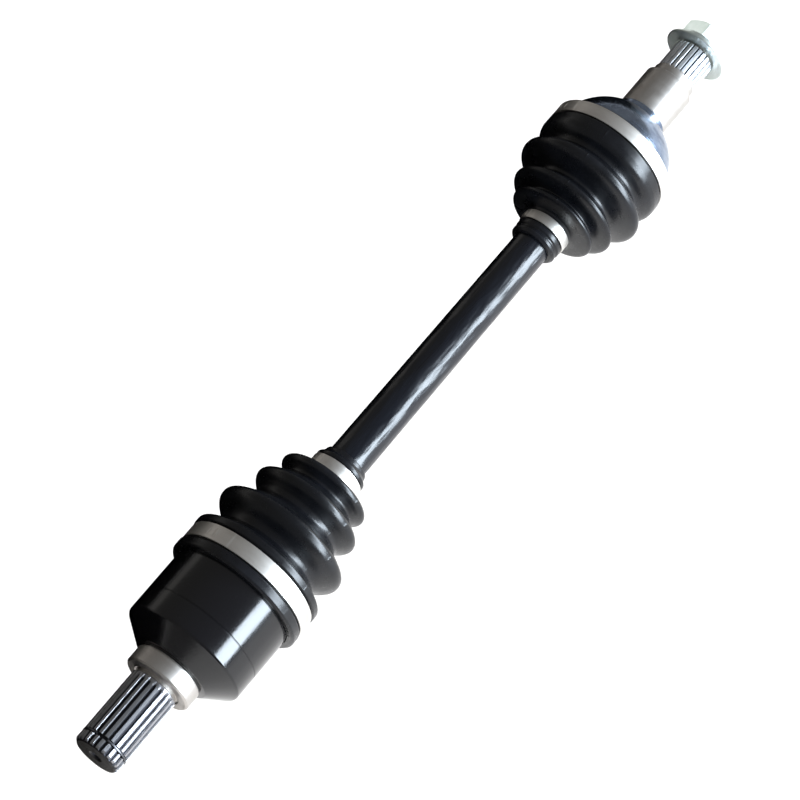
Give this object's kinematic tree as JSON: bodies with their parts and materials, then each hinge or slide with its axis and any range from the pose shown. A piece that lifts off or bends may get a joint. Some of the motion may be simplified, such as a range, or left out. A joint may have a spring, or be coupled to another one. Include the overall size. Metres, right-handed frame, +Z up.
{
  "type": "cv axle",
  "caption": "Drive axle with a plunging ball joint in a cup, a fixed ball joint in a bell, bellows boots, splined ends and an axle nut.",
  "frame": {"origin": "middle of the axle's length, on its axis", "axes": "+X along the axle towards the outboard end with the nut, +Z up as the axle lies on its boots"},
  "size_m": [0.574, 0.0832, 0.0832],
  "materials": {
    "shaft_paint": "gloss black paint",
    "cup_paint": "gloss black paint, ground journal and spline bare",
    "bell_steel": "polished, dark blue-black on the bell and bright on the stub",
    "race_steel": "ground",
    "cage_steel": "hardened, satin",
    "ball_steel": "polished",
    "spring_steel": "blued",
    "band_steel": "bright stainless strip",
    "rubber": "satin moulded rubber",
    "zinc": "greenish zinc plating"
  },
  "bodies": {
    "shaft": {"axle_shaft": "shaft_paint", "inboard_inner_race": "race_steel", "outboard_inner_race": "race_steel", "inboard_race_circlip": "spring_steel", "outboard_race_circlip": "spring_steel", "inboard_small_clamp": "band_steel", "outboard_small_clamp": "band_steel"},
    "inboard_lower_ball": {"inboard_ball_4": "ball_steel"},
    "inboard_cage": {"inboard_cage": "cage_steel", "inboard_ball_2": "ball_steel", "inboard_ball_3": "ball_steel", "inboard_ball_5": "ball_steel", "inboard_ball_6": "ball_steel"},
    "inboard_upper_ball": {"inboard_ball_1": "ball_steel"},
    "inboard_boot": {"inboard_boot": "rubber"},
    "inboard_cup": {"inboard_cup": "cup_paint", "inboard_stub_circlip": "spring_steel", "inboard_wire_retainer": "spring_steel", "inboard_large_clamp": "band_steel"},
    "outboard_lower_ball": {"outboard_ball_4": "ball_steel"},
    "outboard_cage": {"outboard_cage": "cage_steel", "outboard_ball_2": "ball_steel", "outboard_ball_3": "ball_steel", "outboard_ball_5": "ball_steel", "outboard_ball_6": "ball_steel"},
    "outboard_upper_ball": {"outboard_ball_1": "ball_steel"},
    "outboard_bell": {"outboard_bell": "bell_steel", "outboard_boot": "rubber", "outboard_large_clamp": "band_steel"},
    "washer": {"axle_washer": "zinc"},
    "nut": {"axle_nut": "zinc"}
  },
  "joints": [
    {"name": "inboard_pitch", "type": "hinge", "parent": "shaft", "child": "inboard_lower_ball", "pos_m": [-0.1785, 0, 0], "axis": [0, 1, 0], "range_deg": [-7.5, 7.5], "deforming": ["inboard_boot"]},
    {"name": "inboard_yaw", "type": "hinge", "parent": "inboard_lower_ball", "child": "inboard_cage", "pos_m": [-0.1785, 0, 0], "axis": [0, 0, 1], "range_deg": [-7.5, 7.5]},
    {"name": "inboard_yaw_outer", "type": "hinge", "parent": "inboard_cage", "child": "inboard_upper_ball", "pos_m": [-0.1785, 0, 0], "axis": [0, 0, 1], "range_deg": [-7.5, 7.5]},
    {"name": "inboard_pitch_outer", "type": "hinge", "parent": "inboard_upper_ball", "child": "inboard_boot", "pos_m": [-0.1785, 0, 0], "axis": [0, 1, 0], "range_deg": [-7.5, 7.5]},
    {"name": "inboard_plunge", "type": "slide", "parent": "inboard_boot", "child": "inboard_cup", "axis": [1, 0, 0], "range_m": [-0.01, 0.01]},
    {"name": "outboard_pitch", "type": "hinge", "parent": "shaft", "child": "outboard_lower_ball", "pos_m": [0.1775, 0, 0], "axis": [0, 1, 0], "range_deg": [-15, 15], "deforming": ["outboard_boot"]},
    {"name": "outboard_yaw", "type": "hinge", "parent": "outboard_lower_ball", "child": "outboard_cage", "pos_m": [0.1775, 0, 0], "axis": [0, 0, 1], "range_deg": [-15, 15]},
    {"name": "outboard_yaw_outer", "type": "hinge", "parent": "outboard_cage", "child": "outboard_upper_ball", "pos_m": [0.1775, 0, 0], "axis": [0, 0, 1], "range_deg": [-15, 15]},
    {"name": "outboard_pitch_outer", "type": "hinge", "parent": "outboard_upper_ball", "child": "outboard_bell", "pos_m": [0.1775, 0, 0], "axis": [0, 1, 0], "range_deg": [-15, 15]},
    {"name": "washer_travel", "type": "slide", "parent": "outboard_bell", "child": "washer", "axis": [1, 0, 0], "range_m": [0, 0.018]},
    {"name": "nut_turn", "type": "hinge", "parent": "washer", "child": "nut", "pos_m": [0.2719, 0, 0], "axis": [1, 0, 0], "range_deg": [0, 4320]}
  ],
  "couplings": [
    {"joint": "inboard_yaw_outer", "follows": "inboard_yaw", "ratio": 1},
    {"joint": "inboard_pitch_outer", "follows": "inboard_pitch", "ratio": 1},
    {"joint": "outboard_yaw_outer", "follows": "outboard_yaw", "ratio": 1},
    {"joint": "outboard_pitch_outer", "follows": "outboard_pitch", "ratio": 1},
    {"joint": "washer_travel", "follows": "nut_turn", "m_per_rad": 0.00023873}
  ]
}
